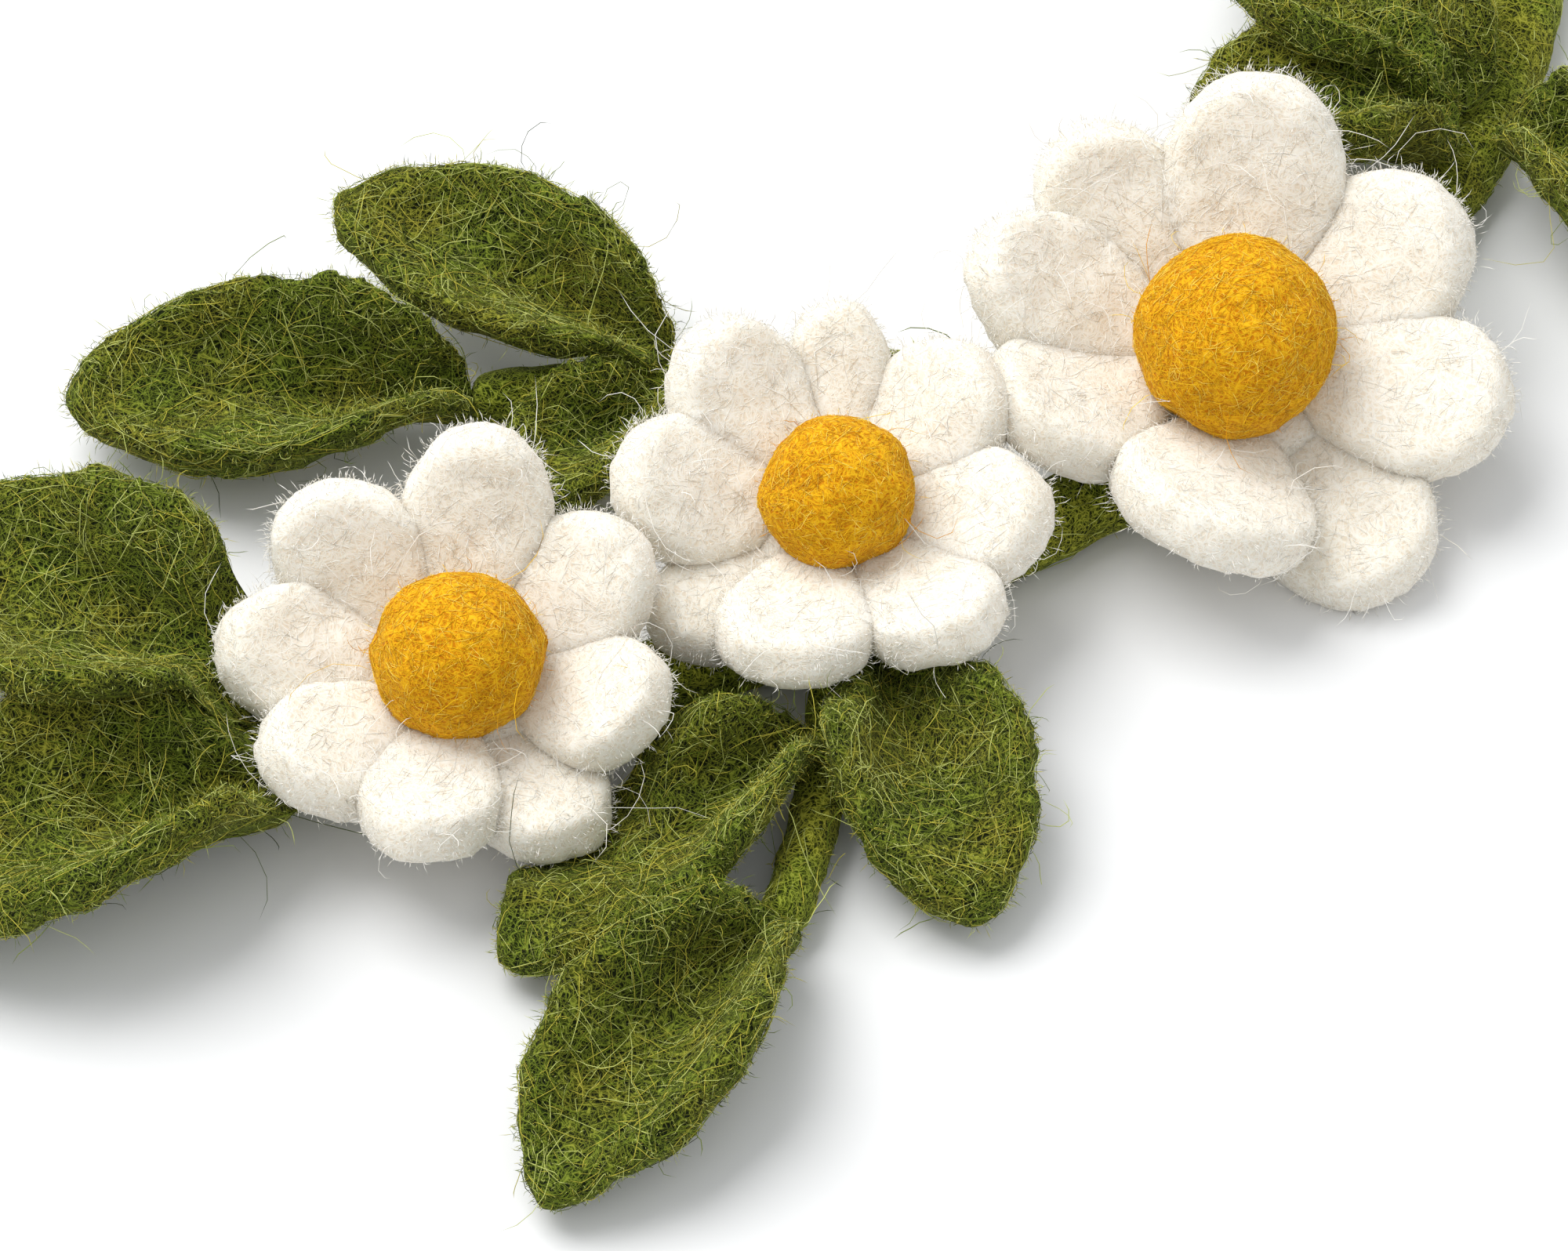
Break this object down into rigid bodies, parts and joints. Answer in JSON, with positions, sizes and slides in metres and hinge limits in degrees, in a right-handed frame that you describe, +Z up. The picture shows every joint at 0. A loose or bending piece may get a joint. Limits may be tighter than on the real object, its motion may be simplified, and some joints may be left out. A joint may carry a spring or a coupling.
{
  "type": "felt flower wreath",
  "caption": "Flat ring wreath of green wool-wrapped stem with cream felt daisies, yellow ball centres, leafy side sprigs and tufts of thick felt leaves; lies on a table or hangs as decoration.",
  "frame": {"origin": "under the middle of the wreath's outline, on the surface it lies on", "axes": "+Z up, out of the blossoms; -Y towards the front of the pictured stretch"},
  "size_m": [0.3066, 0.3256, 0.0267],
  "materials": {
    "green_stem": "wrapped wool, matt and hairy",
    "green_leaf": "needle-felted wool, matt and hairy",
    "cream_petal": "needle-felted wool, matt with fine fuzz",
    "yellow_centre": "felted wool ball, matt with fine fuzz"
  },
  "bodies": {
    "root": {"ring_stem": "green_stem", "front_daisy_1_centre": "yellow_centre", "front_daisy_1_petals": "cream_petal", "front_daisy_2_centre": "yellow_centre", "front_daisy_2_petals": "cream_petal", "front_daisy_3_centre": "yellow_centre", "front_daisy_3_petals": "cream_petal", "front_inner_sprig_stem": "green_stem", "front_outer_sprig_stem": "green_stem", "front_inner_leaf_1": "green_leaf", "front_inner_leaf_2": "green_leaf", "front_inner_leaf_3": "green_leaf", "front_outer_leaf_1": "green_leaf", "front_outer_leaf_2": "green_leaf", "front_outer_leaf_3": "green_leaf", "front_near_tuft_leaf_1": "green_leaf", "front_near_tuft_leaf_2": "green_leaf", "front_far_tuft_leaf_1": "green_leaf", "front_far_tuft_leaf_2": "green_leaf", "front_far_tuft_leaf_3": "green_leaf", "back_daisy_1_centre": "yellow_centre", "back_daisy_1_petals": "cream_petal", "back_daisy_2_centre": "yellow_centre", "back_daisy_2_petals": "cream_petal", "back_daisy_3_centre": "yellow_centre", "back_daisy_3_petals": "cream_petal", "back_inner_sprig_stem": "green_stem", "back_outer_sprig_stem": "green_stem", "back_inner_leaf_1": "green_leaf", "back_inner_leaf_2": "green_leaf", "back_inner_leaf_3": "green_leaf", "back_outer_leaf_1": "green_leaf", "back_outer_leaf_2": "green_leaf", "back_outer_leaf_3": "green_leaf", "back_near_tuft_leaf_1": "green_leaf", "back_near_tuft_leaf_2": "green_leaf", "back_far_tuft_leaf_1": "green_leaf", "back_far_tuft_leaf_2": "green_leaf", "back_far_tuft_leaf_3": "green_leaf", "left_daisy_1_centre": "yellow_centre", "left_daisy_1_petals": "cream_petal", "left_daisy_2_centre": "yellow_centre", "left_daisy_2_petals": "cream_petal", "left_daisy_3_centre": "yellow_centre", "left_daisy_3_petals": "cream_petal", "left_inner_sprig_stem": "green_stem", "left_outer_sprig_stem": "green_stem", "left_inner_leaf_1": "green_leaf", "left_inner_leaf_2": "green_leaf", "left_inner_leaf_3": "green_leaf", "left_outer_leaf_1": "green_leaf", "left_outer_leaf_2": "green_leaf", "left_outer_leaf_3": "green_leaf", "left_near_tuft_leaf_1": "green_leaf", "left_near_tuft_leaf_2": "green_leaf", "left_far_tuft_leaf_1": "green_leaf", "left_far_tuft_leaf_2": "green_leaf", "left_far_tuft_leaf_3": "green_leaf"}
  },
  "joints": []
}
